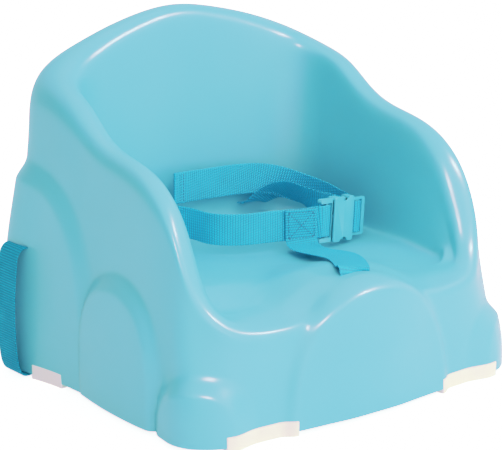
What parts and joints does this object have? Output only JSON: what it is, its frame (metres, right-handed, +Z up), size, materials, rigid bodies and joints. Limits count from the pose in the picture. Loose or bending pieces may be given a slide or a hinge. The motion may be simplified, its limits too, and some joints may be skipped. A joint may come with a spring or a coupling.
{
  "type": "booster seat",
  "caption": "Moulded plastic child booster seat with a high back, side arms, thigh troughs, a webbing lap and crotch belt with a side-release buckle, a chair strap and non-slip pads.",
  "frame": {"origin": "centre of the footprint at the level the non-slip pads rest on", "axes": "+Z up, -Y to the front where the child's legs hang, X across the seat; the shell is symmetric about X = 0"},
  "size_m": [0.4002, 0.3224, 0.3231],
  "materials": {
    "shell_plastic": "satin moulded plastic",
    "pad_rubber": "matt pale rubber",
    "webbing": "woven polyester webbing",
    "buckle_plastic": "moulded plastic, slightly glossy"
  },
  "bodies": {
    "seat": {"chair_anchor_left": "buckle_plastic", "chair_anchor_right": "buckle_plastic", "chair_buckle_plug": "buckle_plastic", "chair_buckle_socket": "buckle_plastic", "chair_strap_left": "webbing", "chair_strap_right": "webbing", "crotch_anchor": "buckle_plastic", "crotch_strap": "webbing", "front_left_pad": "pad_rubber", "front_right_pad": "pad_rubber", "rear_left_pad": "pad_rubber", "rear_right_pad": "pad_rubber", "seat_shell": "shell_plastic", "waist_anchor_left": "buckle_plastic", "waist_anchor_right": "buckle_plastic", "waist_buckle_plug": "buckle_plastic", "waist_buckle_socket": "buckle_plastic", "waist_strap_left": "webbing", "waist_strap_right": "webbing"},
    "waist_upper_arm": {"waist_release_upper": "buckle_plastic"},
    "waist_lower_arm": {"waist_release_lower": "buckle_plastic"},
    "chair_front_arm": {"chair_release_front": "buckle_plastic"},
    "chair_rear_arm": {"chair_release_rear": "buckle_plastic"},
    "keeper": {"chair_strap_keeper": "buckle_plastic"}
  },
  "joints": [
    {"name": "waist_upper_press", "type": "hinge", "parent": "seat", "child": "waist_upper_arm", "pos_m": [0.0728, -0.01364, 0.14812], "axis": [-0.0935, 0.9955, -0.0141], "range_deg": [0, 7]},
    {"name": "waist_lower_press", "type": "hinge", "parent": "seat", "child": "waist_lower_arm", "pos_m": [0.07076, -0.01421, 0.12181], "axis": [0.0935, -0.9955, 0.0141], "range_deg": [0, 7]},
    {"name": "chair_front_press", "type": "hinge", "parent": "seat", "child": "chair_front_arm", "pos_m": [-0.011, 0.1129, 0.0095], "axis": [0, 0, 1], "range_deg": [0, 7]},
    {"name": "chair_rear_press", "type": "hinge", "parent": "seat", "child": "chair_rear_arm", "pos_m": [-0.011, 0.1393, 0.0095], "axis": [0, 0, -1], "range_deg": [0, 7]},
    {"name": "keeper_slide", "type": "slide", "parent": "seat", "child": "keeper", "axis": [1, 0, 0], "range_m": [-0.008, 0.025]}
  ]
}
